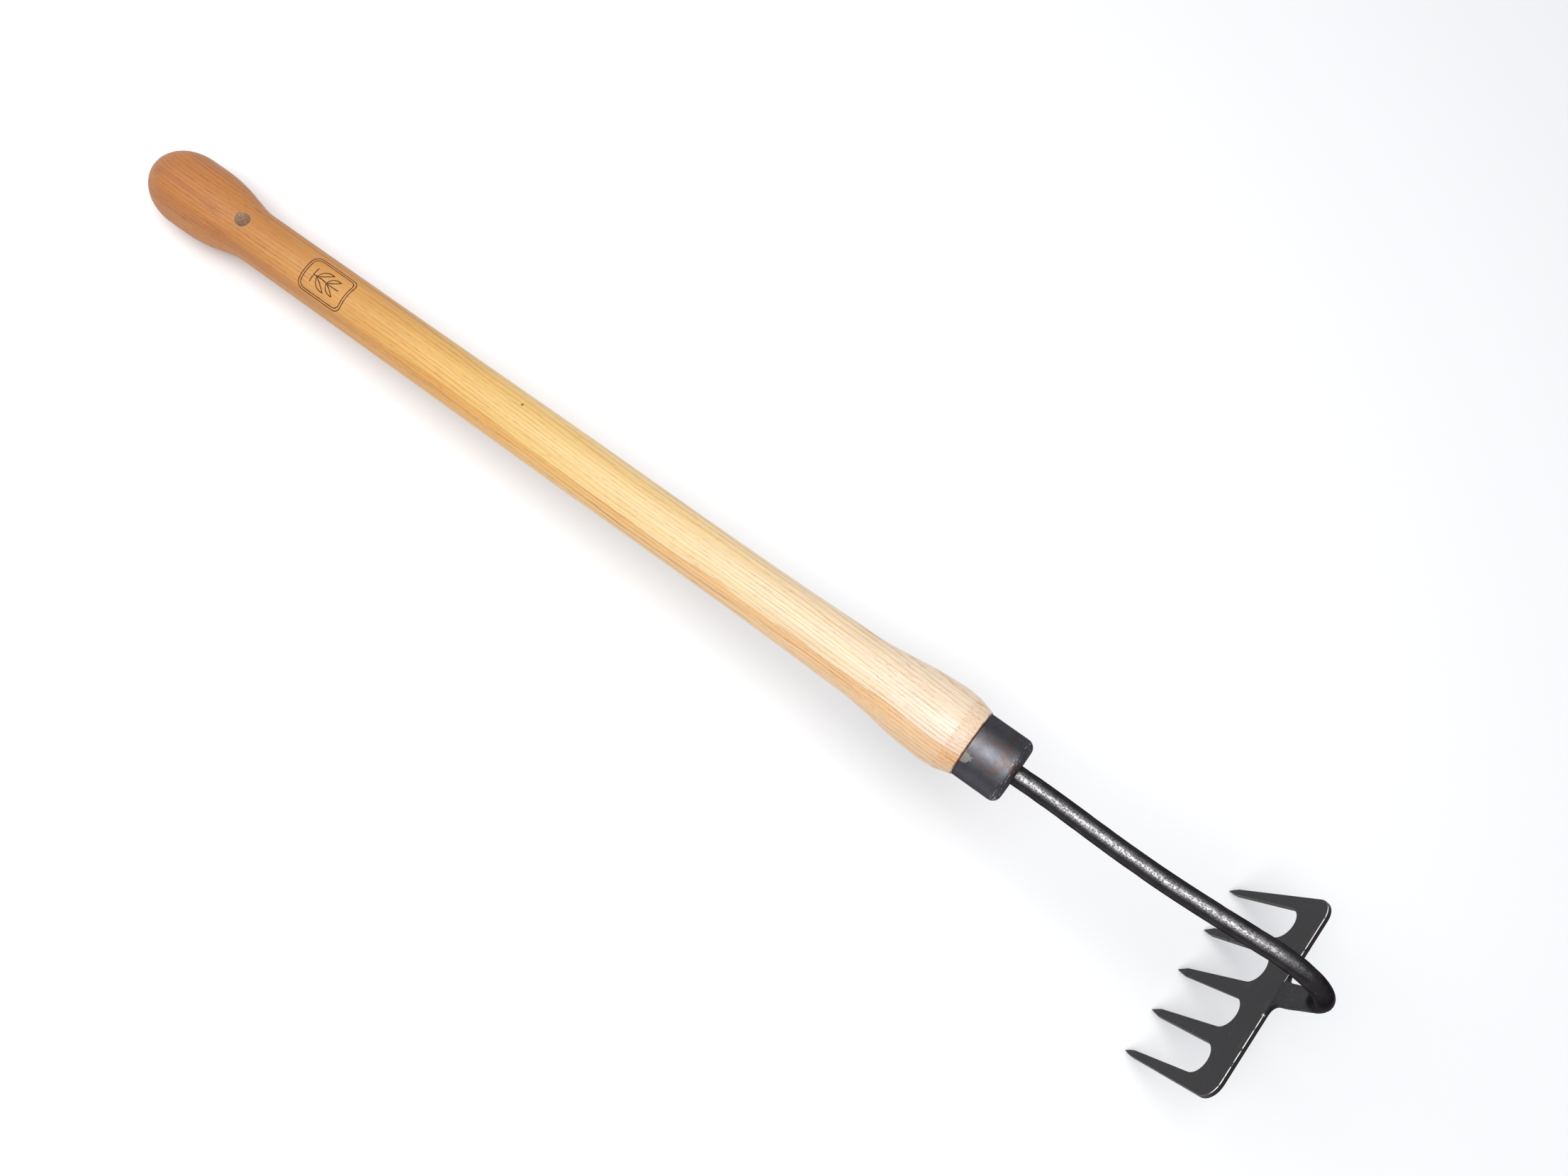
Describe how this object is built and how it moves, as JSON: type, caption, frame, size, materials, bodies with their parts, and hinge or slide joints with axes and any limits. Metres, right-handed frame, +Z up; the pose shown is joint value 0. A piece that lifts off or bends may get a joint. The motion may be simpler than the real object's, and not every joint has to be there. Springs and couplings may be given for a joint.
{
  "type": "hand rake",
  "caption": "Long-handled garden hand rake with a flat forged head of pointed tines on a gooseneck rod, set in a turned ash handle with a steel ferrule.",
  "frame": {"origin": "middle of the tool's bounding box, at the height of the surface that it lies on", "axes": "+X towards the head, +Y across the head, +Z up, with the tool lying on its tine tips and its knob"},
  "size_m": [0.7108, 0.1138, 0.1521],
  "materials": {
    "oiled_ash": "satin oil over straight grain",
    "blued_steel": "heat-blackened, semi-gloss",
    "forged_steel": "black scale, burnished on top",
    "plate_steel": "matte charcoal scale with bright edges",
    "weld_steel": "blackened weld metal"
  },
  "bodies": {
    "root": {"handle": "oiled_ash", "ferrule": "blued_steel", "neck_rod": "forged_steel", "rake_plate": "plate_steel", "neck_weld": "weld_steel"}
  },
  "joints": []
}
